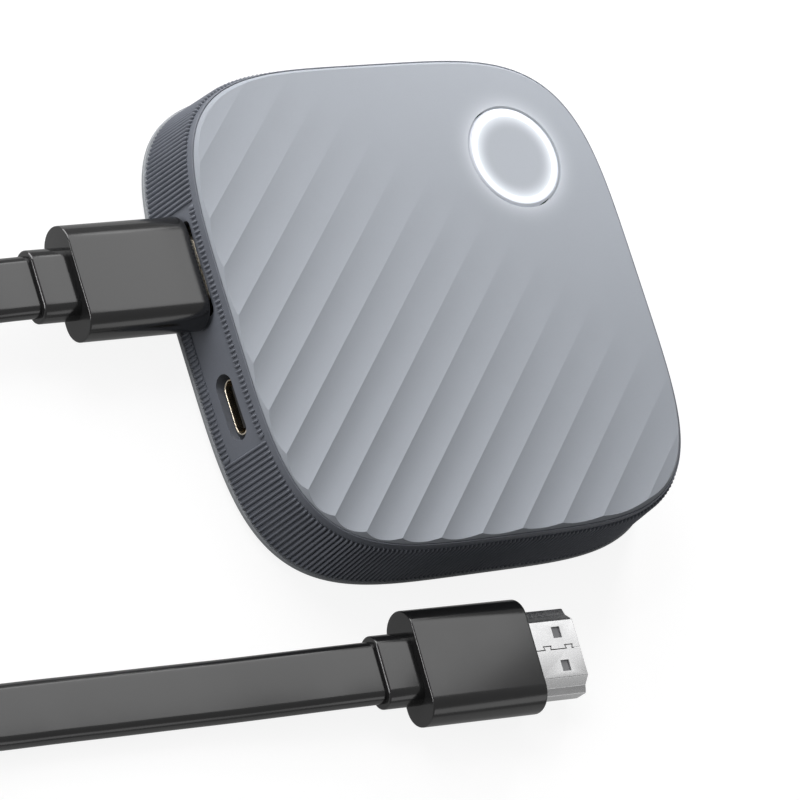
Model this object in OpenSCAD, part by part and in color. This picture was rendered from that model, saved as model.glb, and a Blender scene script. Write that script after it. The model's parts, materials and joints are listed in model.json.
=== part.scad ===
// Wireless display adapter: a flat puck with a fluted cover, a ribbed side wall and a lit button,
// and a short flat display lead plugged into its port wall.
// The puck lies on its feet, +Z up, with the origin on the table under its middle.
// The port wall faces -X and the button is near the +X +Y corner.

/* [Body] */
// Width of the square body over the ribs
body_w = 81.7; // [74:0.1:100]
// Squareness of the outline, 2 is a circle
corner_power = 4.2; // [3.4:0.1:5.4]
// Height of the joint between the rim and the top cover
joint_h = 13.7; // [13.2:0.1:17]
// Height of the bottom cover's lip, where the ribs start
lip_h = 1.9; // [1.7:0.1:2.6]
// Height of the smooth rim above the ribs
rim_h = 1; // [0.8:0.05:1.8]
// Thickness of the side wall behind the ribs
wall = 2.2; // [1.6:0.1:3]
// Distance from one rib to the next
rib_pitch = 0.83; // [0.8:0.01:2]
// Depth of the grooves between the ribs
rib_depth = 0.3; // [0.15:0.05:0.5]

/* [Top cover] */
// How far the top cover's edge sits in from the ribs
cover_in = 1.35; // [1.2:0.05:1.7]
// Gap between the top cover and the rim round it
cover_gap = 0.15; // [0.1:0.05:0.25]
// Height of the cover's face above the joint
cover_rise = 0.7; // [0.4:0.05:1.2]
// Width of the cover's rounded edge
cover_edge = 0.7; // [0.4:0.05:1.2]
// Distance from one flute crest to the next
flute_pitch = 5.53; // [4:0.01:8]
// Height of a crest over the hollow beside it
flute_rise = 0.45; // [0.2:0.01:0.7]
// Depth of the flutes at the corner where they are deepest
flute_deep = 0.6; // [0.4:0.05:0.7]
// Distance past the middle at which the flutes run out
flute_end = 18; // [8:0.5:24]
// Sideways place of the middle crest
flute_shift = 0.4; // [-2:0.1:2]

/* [Button] */
// Distance of the button's middle from the cover's +X edge
button_in_x = 17.3; // [15:0.1:25]
// Distance of the button's middle from the cover's +Y edge
button_in_y = 17.5; // [15:0.1:25]
// Diameter of the button over its light ring
button_d = 17; // [13:0.1:18]
// Gap round the button
button_gap = 0.2; // [0.15:0.05:0.4]
// Width of the light ring
glow_w = 1.6; // [0.8:0.1:2]
// Travel of the button
button_travel = 0.35; // [0.2:0.05:0.4]

/* [Port wall] */
// Length of the sunk panel that holds the ports
recess_l = 38.8; // [34:0.1:44]
// Height of the sunk panel
recess_h = 8; // [7.8:0.1:8.6]
// Depth of the sunk panel
recess_deep = 0.8; // [0.4:0.1:1.2]
// Corner radius of the sunk panel
recess_r = 2; // [1:0.1:3]
// Height of the ports' middle line
port_z = 7.5; // [7.3:0.1:7.9]
// Place of the display socket along the wall
hdmi_y = 9.7; // [9.3:0.1:11]
// Place of the power socket along the wall
usb_y = -12.2; // [-14:0.1:-10]
// Length of the opening for the power socket
usb_slot_w = 10.6; // [9.6:0.1:12.8]
// Height of the opening for the power socket
usb_slot_h = 3.9; // [3.6:0.1:4.4]

/* [Lead] */
// Width of the plug's grip
grip_w = 18.3; // [17:0.1:22]
// Thickness of the plug's grip
grip_t = 7.2; // [6.6:0.1:7.4]
// Length of the plug's grip
grip_l = 21.8; // [16:0.1:28]
// Radius on the grip's front edge
grip_r = 1.4; // [0.6:0.1:1.8]
// Width of the collar behind the grip
collar_w = 11.5; // [10.6:0.1:15]
// Thickness of the collar
collar_t = 4.8; // [4.2:0.1:6]
// Length of the collar
collar_l = 6.5; // [4:0.5:12]
// Radius on the collar's back edge
collar_r = 0.5; // [0.3:0.1:0.7]
// Width of the flat cable
cable_w = 9.8; // [8:0.1:10.4]
// Thickness of the flat cable
cable_t = 3.3; // [2.4:0.1:3.8]
// Length of the plug's metal shell
plug_l = 9.3; // [8:0.1:11.2]
// Turn of the free plug from the X axis, in degrees
far_turn = -1.8; // [-3:0.1:0]

/* [Hidden] */
// Fineness of circles, and points in each plan outline
$fn = 64;
outline_n = 96;
arc_steps = 720;
// Overrun of cuts, gap of fitted pieces and gap of loose pieces
cut = 1;
fit = 0.05;
loose = 0.3;

// Half widths of the plan outlines
rib_half = body_w / 2;
base_half = rib_half - rib_depth;
inner_half = base_half - wall;
cover_half = rib_half - cover_in;
seat_half = cover_half + cover_gap;
rim_flat = 0.2;
rim_top_half = seat_half + rim_flat;

// Slope of the rim from the grooves' foot up, as [share of its width, share of its height]
rim_shares = [[0, 0], [0.15, 0.45], [0.45, 0.8], [1, 1]];

// Edge of the bottom cover, as [share of its rounding, share of its height], and how far it stands out
lip_shares = [[1, 0], [0.32, 0.18], [0, 0.54], [0, 1]];
lip_round = 1.6;
lip_proud = 0.45;
// Steps in the cover's rounded edge
edge_steps = 4;

// Steps in the rounded end of a grip or a collar
bar_steps = 4;

// Levels, from the table up
foot_proud = 0.5;
foot_sink = 0.3;
seat_drop = 1.1;
rib_top = joint_h - rim_h;
ledge_z = joint_h - seat_drop;
face_z = joint_h + cover_rise;

// Feet, screws and posts
foot_d = 8;
post_d = 7;
post_in = 5;
post_at = (reach(inner_half, 45) - post_in) * cos(45);
boss_d = 5.6;
screw_d = 2.2;
head_d = 4.4;
head_h = 1.2;
screw_l = 8;
head_z = 2.4;
peg_d = 2.4;
peg_h = 1.6;
screw_spots = [[-post_at, -post_at], [-post_at, post_at], [post_at, -post_at]];
peg_spot = [post_at, post_at];
lip_t = 1;
lip_rise = 1.2;

// Power socket, of the small oval kind
usb_w = 8.94;
usb_h = 3.26;
usb_l = 7.35;
usb_set_back = 0.9;
usb_tongue_w = 6.69;
usb_tongue_h = 0.7;
usb_block_l = 2.2;
usb_pin = 0.12;
usb_pin_share = 0.9;
sheet = 0.3;

// Display plug and socket, of the full-size kind
plug_w = 13.9;
plug_h = 4.45;
// Right side of the plug's outline from below, as shares of its half width and half height, and how
// far each of its corners moves out and up where the outline is grown
plug_shares = [[1, -1], [1, 0.2], [0.83, 0.4], [0.66, 1]];
grow_shares = [[1, -1], [1, 0.68], [0.58, 0.85], [0.44, 1]];
socket_clear = 0.15;
socket_set_back = 0.5;
socket_end_gap = 0.2;
mouth_grow = socket_clear + sheet + loose;
socket_tab = 1.5;
socket_block_l = 2.9;
tongue_w = 10.6;
tongue_h = 1.3;
tongue_tip = 1;
tongue_drop = 0.5;
slot_clear = 0.25;
insert_back = 1;
pin_w = 0.5;
pin_h = 0.15;
pin_pitch = 1;
pin_n = 10;
window_l = 1.6;
window_w = 1.8;
window_y = 2.7;
window_tip = 2.95;

// Seam along the top of the plug's shell, with a dovetail tab at each of two places
seam_w = 0.16;
seam_deep = 0.2;
seam_tab_l = 1.1;
seam_tab_flare = 0.18;
seam_tab_h = 0.58;
seam_tabs = [3.02, 7.12];

// Board and the pieces on it
board_t = 1.2;
board_gap = 2;
board_top = port_z - usb_h / 2;
board_under = board_top - board_t;
board_half = inner_half - board_gap;
chip = 14;
chip_h = 1.2;
can = 22;
can_h = 2.5;
pad_w = 18;
pad_h = 1;
spreader_h = 1;
spreader_gap = 0.5;
spreader_post_d = 3.6;
memory_l = 10;
memory_w = 8;
memory_h = 1;
module_l = 16;
module_w = 12;
module_h = 2;
coil_w = 5;
coil_h = 2.4;
cap_l = 2;
cap_w = 1.25;
cap_h = 1;
cap_n = 8;
antenna_l = 24;
antenna_h = 4.8;
antenna_t = 0.8;

// Button pieces
switch_w = 4.5;
switch_h = 2.2;
plunger_d = 2.4;
plunger_h = 1.3;
plunger_deep = 0.45;
stem_d = 3.2;
flange = 0.6;
flange_t = 0.65;
cap_t = 1.5;
ring_ledge = 0.8;
ring_edge = 0.5;
ring_edge_steps = 4;
guide_wall = 1.6;
guide_clear = 0.2;
led_l = 1.6;
led_w = 0.8;
led_h = 0.6;
led_n = 6;
button_x = cover_half - button_in_x;
button_y = cover_half - button_in_y;
hole_r = button_d / 2 + button_gap;
ring_in = button_d / 2 - glow_w;
stem_end = board_top + switch_h + plunger_h - plunger_deep;
ring_under = ledge_z - fit - flange_t;
guide_out = ring_in - guide_clear;
guide_in = guide_out - guide_wall;
guide_top = ring_under - button_travel - fit;

// Places along the port wall and along the near plug
recess_x = -(rib_half - recess_deep);
wall_in_x = -inner_half;
grip_front = recess_x - loose;
grip_back = grip_front - grip_l;
collar_back = grip_back - collar_l;
socket_front = recess_x + socket_set_back;
tongue_root = grip_front + plug_l + socket_end_gap;
socket_back = tongue_root + socket_block_l;

// The heat spreader fills the space between the corner posts and the button
spreader_low = boss_d / 2 + spreader_gap - post_at;
spreader_high = button_x - hole_r - flange;
spreader = spreader_high - spreader_low;
chip_at = (spreader_low + spreader_high) / 2;

// The free plug: middle of its grip's back face, and how far its grip lies from the body's side
far_x = -19.5;
far_beside = 5.25;
far_y = -(rib_half + far_beside + grip_w / 2);

// Middle line of the free cable: x, y, z and roll, 0 lying flat and 90 on its edge
route = [
    [collar_back, hdmi_y, port_z, 0], [-75, 9.6, 7.5, 0], [-82, 9.5, 7.2, 4], [-90, 9.4, 6.7, 14],
    [-98, 9.4, 6.2, 28], [-106, 9.4, 5.8, 43], [-114, 9.4, 5.5, 58], [-122, 9.4, 5.2, 72],
    [-131, 9.4, 5, 83], [-140, 9.4, 5, 89], [-149, 9.4, 5, 90], [-158, 9.2, 5, 90],
    [-168, 7.6, 5, 90], [-176.5, 3.4, 5, 90], [-183.5, -3.4, 5, 90], [-188, -12.2, 5, 90],
    [-189.5, -21.6, 5, 90], [-188, -31, 5, 90], [-183.5, -39.8, 5, 90],
    [-176.5, -46.6, 5, 90], [-168, -51, 5, 90], [-158, -52.6, 5, 90],
    [-148, -52.8, 5, 90], [-140, -52.8, 5, 86], [-132, -52.8, 4.9, 75],
    [-124, -52.8, 4.5, 58], [-116, -52.8, 3.8, 38], [-108, -52.8, 2.9, 20],
    [-100, -52.8, 2.2, 7], [-92, -52.9, 1.8, 0], [-82, -53.1, 1.7, 0], [-72, -53.4, 1.7, 0],
    [-62, -53.7, 1.8, 0], [-52, -54.1, 2.2, 0], [-42, -54.5, 2.9, 0], [-34, -54.8, 3.4, 0],
    [far_x - collar_l * cos(far_turn), far_y - collar_l * sin(far_turn), grip_t / 2, 0]];
// Rings swept between one route point and the next, and corners of the cable's outline
route_steps = 2;
cable_sides = 12;

// Distance of the rounded-square outline from its middle at angle a
function reach(half, a) =
    half / pow(pow(abs(cos(a)), corner_power) + pow(abs(sin(a)), corner_power), 1 / corner_power);
function plan_point(half, a) = reach(half, a) * [cos(a), sin(a)];
function outline(half) = [for (i = [0 : outline_n - 1]) plan_point(half, 360 * i / outline_n)];

// Length along the outline against angle, so that the ribs are evenly spaced
arc_table = [for (i = 0, s = 0; i <= arc_steps;
    s = s + norm(plan_point(rib_half, 360 * (i + 1) / arc_steps)
        - plan_point(rib_half, 360 * i / arc_steps)),
    i = i + 1) [s, 360 * i / arc_steps]];
perimeter = arc_table[arc_steps][0];
rib_n = round(perimeter / rib_pitch);
// One rib as [share of the pitch, share of the groove's depth]
rib_shares = [[0, 0], [0.5, 0], [0.75, 1]];
function rib_outline() = [for (k = [0 : rib_n - 1]) for (q = rib_shares)
    plan_point(rib_half - q[1] * rib_depth, lookup((k + q[0]) * perimeter / rib_n, arc_table))];

// A closed body through outlines of given half width and height, lowest first
module loft(levels) {
    n = outline_n;
    m = len(levels);
    points = [for (l = levels) for (p = outline(l[0])) [p[0], p[1], l[1]]];
    sides = [for (j = [0 : m - 2]) for (i = [0 : n - 1])
        [j * n + i, (j + 1) * n + i, (j + 1) * n + (i + 1) % n, j * n + (i + 1) % n]];
    low = [for (i = [0 : n - 1]) i];
    high = [for (i = [0 : n - 1]) m * n - 1 - i];
    polyhedron(points, concat([low], sides, [high]), convexity = 4);
}

module slab(half, z0, z1) {
    translate([0, 0, z0]) linear_extrude(z1 - z0) polygon(outline(half));
}

module band(outer, inner, z0, z1) {
    translate([0, 0, z0]) linear_extrude(z1 - z0) difference() {
        polygon(outline(outer));
        polygon(outline(inner));
    }
}

module rod(spot, d, z0, z1) {
    translate([spot[0], spot[1], z0]) cylinder(d = d, h = z1 - z0);
}

module block(size, x, y, z) {
    translate([x - size[0] / 2, y - size[1] / 2, z]) cube(size);
}

// A flat shape in Y and Z, drawn from x0 to x1
module along_x(x0, x1) {
    translate([x0, 0, 0]) rotate([90, 0, 90]) linear_extrude(x1 - x0) children();
}

module stadium(w, h) {
    square([w - h, h], center = true);
    for (s = [-1, 1]) translate([s * (w - h) / 2, 0]) circle(d = h);
}

module rounded(w, h, r) {
    square([w - 2 * r, h], center = true);
    square([w, h - 2 * r], center = true);
    for (s = [-1, 1]) for (t = [-1, 1]) translate([s * (w / 2 - r), t * (h / 2 - r)]) circle(r);
}

// Outline of the display plug, grown by e: wide below, narrow above
module plug_outline(e) {
    n = len(plug_shares);
    right = [for (k = [0 : n - 1]) [plug_shares[k][0] * plug_w / 2 + grow_shares[k][0] * e,
        plug_shares[k][1] * plug_h / 2 + grow_shares[k][1] * e]];
    polygon(concat(right, [for (k = [n - 1 : -1 : 0]) [-right[k][0], right[k][1]]]));
}

module bottom_cover() {
    color("#a4a7ab") difference() {
        union() {
            loft([for (q = lip_shares)
                [rib_half + lip_proud - q[0] * lip_round, foot_proud + q[1] * (lip_h - foot_proud)]]);
            band(inner_half - fit, inner_half - fit - lip_t, lip_h - foot_sink, lip_h + lip_rise);
            for (s = screw_spots) rod(s, post_d, lip_h, board_under);
            rod(peg_spot, post_d, lip_h, board_under);
            rod(peg_spot, peg_d, board_under, board_top + peg_h);
        }
        for (s = screw_spots) {
            rod(s, screw_d + 2 * fit + loose, 0, board_top);
            rod(s, head_d + loose, 0, head_z);
        }
        for (s = concat(screw_spots, [peg_spot])) rod(s, foot_d + 2 * fit, 0, foot_proud + foot_sink);
    }
}

module rubber_feet() {
    color("#2c2e31") for (s = concat(screw_spots, [peg_spot])) {
        rod(s, foot_d, 0, foot_proud + foot_sink);
    }
}

module case_screws() {
    color("#b9bcc0") for (s = screw_spots) {
        rod(s, head_d, head_z - head_h, head_z);
        rod(s, screw_d, head_z, head_z + screw_l);
    }
}

module side_frame() {
    color("#3d414c") difference() {
        union() {
            translate([0, 0, lip_h]) linear_extrude(rib_top - lip_h) polygon(rib_outline());
            loft([for (q = rim_shares)
                [base_half - q[0] * (base_half - rim_top_half), rib_top + q[1] * rim_h]]);
        }
        slab(inner_half, lip_h - cut, ledge_z);
        slab(seat_half, ledge_z - fit, joint_h + cut);
        translate([0, 0, port_z]) along_x(-rib_half - cut, recess_x)
            rounded(recess_l, recess_h, recess_r);
        translate([0, hdmi_y, port_z]) along_x(recess_x - cut, wall_in_x + cut)
            rounded(plug_w + 2 * mouth_grow, plug_h + 2 * mouth_grow, loose);
        translate([0, usb_y, port_z]) along_x(recess_x - cut, wall_in_x + cut)
            stadium(usb_slot_w, usb_slot_h);
    }
}

// One scalloped flute: a round cutter laid at a slight slope, so that the flute runs out
module flute(v) {
    flute_r = (pow(flute_pitch, 2) / 4 + pow(flute_rise, 2)) / (2 * flute_rise);
    run = flute_end + reach(cover_half, 45);
    slope = asin(flute_deep / run);
    rotate([0, 0, 45]) translate([flute_end, -v, face_z]) rotate([0, -slope, 0])
        translate([0, 0, flute_r]) rotate([0, -90, 0])
            cylinder(r = flute_r, h = run + flute_pitch, $fn = 180);
}

module top_cover() {
    reach_n = ceil(reach(cover_half, 45) / flute_pitch);
    boss_low = board_top;
    color("#aeb6bf") difference() {
        union() {
            loft(concat([[cover_half, ledge_z]], [for (k = [0 : edge_steps]) let (a = 90 * k / edge_steps)
                [cover_half - cover_edge * (1 - cos(a)), joint_h + cover_rise * sin(a)]]));
            band(inner_half - fit, inner_half - fit - lip_t, ledge_z - lip_rise, ledge_z + cut);
            for (s = screw_spots) rod(s, boss_d, boss_low, ledge_z + cut / 2);
            for (s = [-1, 1]) for (t = [-1, 1])
                rod([chip_at + s * (spreader / 2 - spreader_post_d),
                    chip_at + t * (spreader / 2 - spreader_post_d)],
                    spreader_post_d, spreader_top(), ledge_z + cut / 2);
        }
        for (k = [-reach_n : reach_n]) flute(flute_shift + (k + 0.5) * flute_pitch);
        rod([button_x, button_y], 2 * hole_r, ledge_z - cut - lip_rise, face_z + cut);
        for (s = screw_spots) rod(s, screw_d + 2 * fit, boss_low - cut, head_z + screw_l + loose);
    }
}

function spreader_top() = board_top + can_h + pad_h + spreader_h;

// Rounded outer edge of the light ring
ring_round = [for (k = [0 : ring_edge_steps]) let (a = 90 * k / ring_edge_steps)
    [button_d / 2 - ring_edge * (1 - cos(a)), face_z - ring_edge * (1 - sin(a))]];

module button_light_ring() {
    color("#f4f8ff") translate([button_x, button_y, 0]) rotate_extrude()
        polygon([[ring_in - ring_ledge, face_z - cap_t - flange_t], [ring_in, ring_under],
            [hole_r + flange, ring_under], [hole_r + flange, ledge_z - fit],
            [button_d / 2, ledge_z - fit], each ring_round, [ring_in, face_z],
            [ring_in, face_z - cap_t], [ring_in - ring_ledge, face_z - cap_t]]);
}

module button_cap() {
    spot = [button_x, button_y];
    color("#b4bcc5") union() {
        rod(spot, 2 * (ring_in - fit), face_z - cap_t, face_z);
        rod(spot, stem_d, stem_end, face_z - cap_t);
    }
}

module switch_plunger() {
    color("#26282b") rod([button_x, button_y], plunger_d, stem_end - plunger_h, stem_end);
}

module tact_switch() {
    color("#8d9095") difference() {
        block([switch_w, switch_w, switch_h], button_x, button_y, board_top);
        rod([button_x, button_y], plunger_d + loose,
            stem_end - plunger_h - button_travel - fit, board_top + switch_h + cut);
    }
}

module light_guide() {
    spot = [button_x, button_y];
    color("#e8eef4") difference() {
        rod(spot, 2 * guide_out, board_top, guide_top);
        rod(spot, 2 * guide_in, board_top - cut, guide_top + cut);
        for (k = [0 : led_n - 1]) translate([button_x, button_y, board_top]) rotate(360 * k / led_n)
            block([3 * led_w, led_l + 2 * loose, led_h + loose], (guide_in + guide_out) / 2, 0, 0);
    }
}

module status_leds() {
    color("#fff6c8") for (k = [0 : led_n - 1])
        translate([button_x, button_y, board_top]) rotate(360 * k / led_n)
            block([led_w, led_l, led_h], (guide_in + guide_out) / 2, 0, 0);
}

module main_board() {
    notch_w = plug_w + 2 * mouth_grow;
    color("#1f5a3a") difference() {
        slab(board_half, board_under, board_top);
        translate([-board_half - cut, hdmi_y - notch_w / 2, board_under - cut])
            cube([socket_back + loose + board_half + cut, notch_w, board_t + 2 * cut]);
        for (s = screw_spots) rod(s, screw_d + 2 * loose, board_under - cut, board_top + cut);
        rod(peg_spot, peg_d + loose, board_under - cut, board_top + cut);
    }
}

module hdmi_socket_shell() {
    grow = mouth_grow - loose;
    color("#c9ccd0") union() {
        translate([0, hdmi_y, port_z]) along_x(socket_front, socket_back) difference() {
            plug_outline(grow);
            plug_outline(socket_clear);
        }
        for (s = [-1, 1])
            block([socket_block_l, socket_tab + sheet, sheet], tongue_root,
                hdmi_y + s * (plug_w / 2 + grow + (socket_tab - sheet) / 2), board_top);
    }
}

module hdmi_socket_tongue() {
    color("#1b1c1f") translate([0, hdmi_y, port_z]) union() {
        along_x(tongue_root, socket_back) plug_outline(socket_clear - fit);
        along_x(socket_front + tongue_tip, tongue_root) translate([0, -tongue_drop])
            square([tongue_w, tongue_h], center = true);
    }
}

module hdmi_socket_pins() {
    color("#d9b45a") translate([0, hdmi_y, port_z]) {
        for (k = [0 : pin_n - 1]) translate([0, (k - (pin_n - 1) / 2) * pin_pitch, 0])
            along_x(socket_front + 2 * tongue_tip, tongue_root)
                for (s = [-1, 1]) translate([0, s * (tongue_h + pin_h) / 2 - tongue_drop])
                    square([pin_w, pin_h], center = true);
    }
}

module usb_socket_shell() {
    front = recess_x + usb_set_back;
    color("#d8cdb8") translate([0, usb_y, port_z]) along_x(front, front + usb_l) difference() {
        stadium(usb_w, usb_h);
        stadium(usb_w - 2 * sheet, usb_h - 2 * sheet);
    }
}

module usb_socket_tongue() {
    back = recess_x + usb_set_back + usb_l;
    color("#1b1c1f") translate([0, usb_y, port_z]) union() {
        along_x(back - usb_block_l, back) stadium(usb_w - 2 * (sheet + fit), usb_h - 2 * (sheet + fit));
        along_x(recess_x + usb_set_back + 2 * sheet, back - usb_block_l)
            square([usb_tongue_w, usb_tongue_h], center = true);
    }
}

module usb_socket_pins() {
    front = recess_x + usb_set_back;
    color("#d9b45a") translate([0, usb_y, port_z]) {
        for (k = [0 : pin_n - 1])
            translate([0, (k - (pin_n - 1) / 2) * usb_pin_share * usb_tongue_w / pin_n, 0])
                along_x(front + 2 * tongue_tip, front + usb_l - usb_block_l)
                    for (s = [-1, 1]) translate([0, s * (usb_tongue_h + usb_pin) / 2])
                        square([2 * usb_pin, usb_pin], center = true);
    }
}

module processor() {
    color("#17181a") block([chip, chip, chip_h], chip_at, chip_at, board_top);
}

module shield_can() {
    color("#c4c7ca") difference() {
        block([can, can, can_h], chip_at, chip_at, board_top);
        block([can - 2 * sheet, can - 2 * sheet, can_h - sheet + cut], chip_at, chip_at, board_top - cut);
    }
}

module thermal_pads() {
    color("#8fa4b8") {
        block([chip, chip, can_h - sheet - chip_h], chip_at, chip_at, board_top + chip_h);
        block([pad_w, pad_w, pad_h], chip_at, chip_at, board_top + can_h);
    }
}

module heat_spreader() {
    color("#d2d4d6") block([spreader, spreader, spreader_h], chip_at, chip_at,
        board_top + can_h + pad_h);
}

module memory_chips() {
    y = chip_at + can / 2 + memory_l / 2 + 2 * cap_h;
    color("#202124") for (s = [-1, 1]) {
        block([memory_w, memory_l, memory_h], chip_at + s * 0.75 * memory_w, y, board_top);
    }
}

module wireless_module() {
    x = chip_at + can / 2 + module_l / 2 + 2 * cap_h;
    color("#b7babd") block([module_l, module_w, module_h], x, chip_at - can / 4, board_top);
}

module power_inductors() {
    color("#3b3c3e") for (k = [0, 1]) {
        block([coil_w, coil_w, coil_h], chip_at - can / 2 - coil_w, chip_at - k * 1.4 * coil_w, board_top);
    }
}

module board_capacitors() {
    y = chip_at - can / 2 - 2 * cap_l;
    color("#a08a6a") for (k = [0 : cap_n - 1]) {
        block([cap_w, cap_l, cap_h], chip_at + (2 * k - cap_n + 1) * cap_w, y, board_top);
    }
}

module antennas() {
    at = board_half - antenna_t;
    color("#2b3a55") {
        block([antenna_t, antenna_l, antenna_h], at, 0, board_top);
        block([antenna_l, antenna_t, antenna_h], 0, at, board_top);
    }
}

// An oval bar from x = 0 to its far end, where its edge is rounded
module bar(l, w, t, r) {
    hull() for (k = [0 : bar_steps]) let (a = 90 * k / bar_steps, in = 2 * r * (1 - cos(a)))
        along_x(0, l - r * (1 - sin(a))) stadium(w - in, t - in, $fn = 32);
}

// The grip of a plug from x = 0 to its front: sharp edge behind, rounded edge in front
module grip_body() {
    color("#1c1d1f") bar(grip_l, grip_w, grip_t, grip_r);
}

// Strip along the shell's seam, e to either side of its middle line
function seam_side(e) = [for (x = seam_tabs) each [
    [x - seam_tab_l / 2 - e, e], [x - seam_tab_l / 2 - seam_tab_flare - e, seam_tab_h + e],
    [x + seam_tab_l / 2 + seam_tab_flare + e, seam_tab_h + e], [x + seam_tab_l / 2 + e, e]]];
module seam_strip() {
    e = seam_w / 2;
    low = seam_side(-e);
    polygon(concat([[-cut, e]], seam_side(e), [[plug_l + cut, e], [plug_l + cut, -e]],
        [for (k = [len(low) - 1 : -1 : 0]) low[k]], [[-cut, -e]]));
}

// The metal shell of a plug from x = 0, with its seam and its two latch windows
module shell_body() {
    color("#d9dbde") difference() {
        along_x(0, plug_l) difference() {
            plug_outline(0);
            plug_outline(-sheet);
        }
        translate([0, 0, plug_h / 2 - seam_deep]) linear_extrude(seam_deep + cut) seam_strip();
        for (s = [-1, 1]) block([window_l, window_w, plug_h + 2 * cut],
            plug_l - window_tip - window_l / 2, s * window_y, 0);
    }
}

// The moulded insert of a plug from x = 0: a slot for the socket's tongue, and its contacts
module insert_body() {
    slot_w = tongue_w + 2 * slot_clear;
    slot_h = tongue_h + 2 * slot_clear;
    color("#222326") difference() {
        along_x(0, plug_l - insert_back) plug_outline(-sheet - fit);
        along_x(insert_back, plug_l) translate([0, -tongue_drop]) square([slot_w, slot_h], center = true);
    }
}

// The collar from x = 0 back to its rounded end
module collar_body() {
    color("#1c1d1f") rotate([0, 0, 180]) bar(collar_l, collar_w, collar_t, collar_r);
}

module at_near(x) {
    translate([x, hdmi_y, port_z]) children();
}

module at_far(x) {
    translate([far_x, far_y, grip_t / 2]) rotate([0, 0, far_turn]) translate([x, 0, 0]) children();
}

module plug_grip() {
    at_near(grip_back) grip_body();
}

module plug_shell() {
    at_near(grip_front) shell_body();
}

module plug_insert() {
    at_near(grip_front) insert_body();
}

module plug_collar() {
    at_near(grip_back) collar_body();
}

module far_plug_grip() {
    at_far(0) grip_body();
}

module far_plug_shell() {
    at_far(grip_l) shell_body();
}

module far_plug_insert() {
    at_far(grip_l) insert_body();
}

module far_plug_collar() {
    at_far(0) collar_body();
}

// Smooth middle line through the route's points
function clamped(i) = max(0, min(len(route) - 1, i));
function spline(p0, p1, p2, p3, t) =
    0.5 * (2 * p1 + (p2 - p0) * t + (2 * p0 - 5 * p1 + 4 * p2 - p3) * t * t
        + (3 * p1 - p0 - 3 * p2 + p3) * t * t * t);
middle = concat([for (i = [0 : len(route) - 2]) for (k = [0 : route_steps - 1])
    spline(route[clamped(i - 1)], route[i], route[i + 1], route[clamped(i + 2)], k / route_steps)],
    [route[len(route) - 1]]);
function place(i) = [middle[i][0], middle[i][1], middle[i][2]];
function unit(v) = v / norm(v);
function heading(i) = i == 0 ? [-1, 0, 0]
    : i == len(middle) - 1 ? [cos(far_turn), sin(far_turn), 0]
    : unit(place(i + 1) - place(i - 1));
function side_of(i) = unit(cross(heading(i), [0, 0, 1]));
// Corners of the cable's oval outline, as [along its width, along its thickness]
cable_oval = [for (k = [0 : cable_sides - 1])
    let (a = (k + 0.5) * 360 / cable_sides)
    [sign(cos(a)) * (cable_w - cable_t) / 2 + cable_t / 2 * cos(a), cable_t / 2 * sin(a)]];
function cable_ring(i) = let (t = heading(i), s = side_of(i), u = cross(s, t), r = middle[i][3])
    [for (q = cable_oval)
        place(i) + s * (q[0] * cos(r) - q[1] * sin(r)) + u * (q[0] * sin(r) + q[1] * cos(r))];

module lead_cable() {
    n = cable_sides;
    m = len(middle);
    points = [for (i = [0 : m - 1]) each cable_ring(i)];
    sides = [for (i = [0 : m - 2]) for (k = [0 : n - 1])
        let (a = i * n + k, b = i * n + (k + 1) % n, c = a + n, d = b + n)
        each [[a, b, c], [b, d, c]]];
    low = [for (k = [0 : n - 1]) n - 1 - k];
    high = [for (k = [0 : n - 1]) (m - 1) * n + k];
    color("#1c1d1f") polyhedron(points, concat([low], sides, [high]), convexity = 6);
}

bottom_cover();
rubber_feet();
case_screws();
side_frame();
top_cover();
button_light_ring();
button_cap();
switch_plunger();
tact_switch();
light_guide();
status_leds();
main_board();
hdmi_socket_shell();
hdmi_socket_tongue();
hdmi_socket_pins();
usb_socket_shell();
usb_socket_tongue();
usb_socket_pins();
processor();
shield_can();
thermal_pads();
heat_spreader();
memory_chips();
wireless_module();
power_inductors();
board_capacitors();
antennas();
plug_grip();
plug_shell();
plug_insert();
plug_collar();
lead_cable();
far_plug_collar();
far_plug_grip();
far_plug_shell();
far_plug_insert();
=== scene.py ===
"""Wireless display adapter: a fluted puck with a lit button and a short flat display lead."""

import json
import math
from functools import lru_cache

import bmesh
import bpy
from bpy.props import FloatProperty, FloatVectorProperty, IntProperty, PointerProperty
from mathutils import Matrix, Vector


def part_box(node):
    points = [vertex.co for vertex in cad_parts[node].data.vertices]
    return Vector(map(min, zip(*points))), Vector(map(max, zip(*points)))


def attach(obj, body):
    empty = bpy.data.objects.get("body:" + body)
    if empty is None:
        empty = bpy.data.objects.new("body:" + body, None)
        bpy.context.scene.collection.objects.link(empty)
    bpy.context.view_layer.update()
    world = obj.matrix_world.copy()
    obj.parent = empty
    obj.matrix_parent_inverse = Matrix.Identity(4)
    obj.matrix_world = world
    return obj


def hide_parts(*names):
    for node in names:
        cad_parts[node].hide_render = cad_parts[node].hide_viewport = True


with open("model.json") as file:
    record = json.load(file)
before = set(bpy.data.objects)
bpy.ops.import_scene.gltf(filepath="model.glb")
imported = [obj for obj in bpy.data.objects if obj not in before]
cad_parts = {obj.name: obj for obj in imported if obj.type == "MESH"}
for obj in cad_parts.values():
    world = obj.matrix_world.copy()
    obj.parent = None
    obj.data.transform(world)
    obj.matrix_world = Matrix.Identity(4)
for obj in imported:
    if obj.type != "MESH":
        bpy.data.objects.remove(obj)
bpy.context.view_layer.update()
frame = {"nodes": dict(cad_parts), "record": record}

bl_info = {
    "name": "Wireless display adapter",
    "version": (1, 0, 0),
    "blender": (4, 5, 0),
    "location": "3D View > Sidebar > Adapter",
    "description": "Makes the adapter's visible pieces, lead and stage round the packed frame",
    "category": "Object",
}

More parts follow.
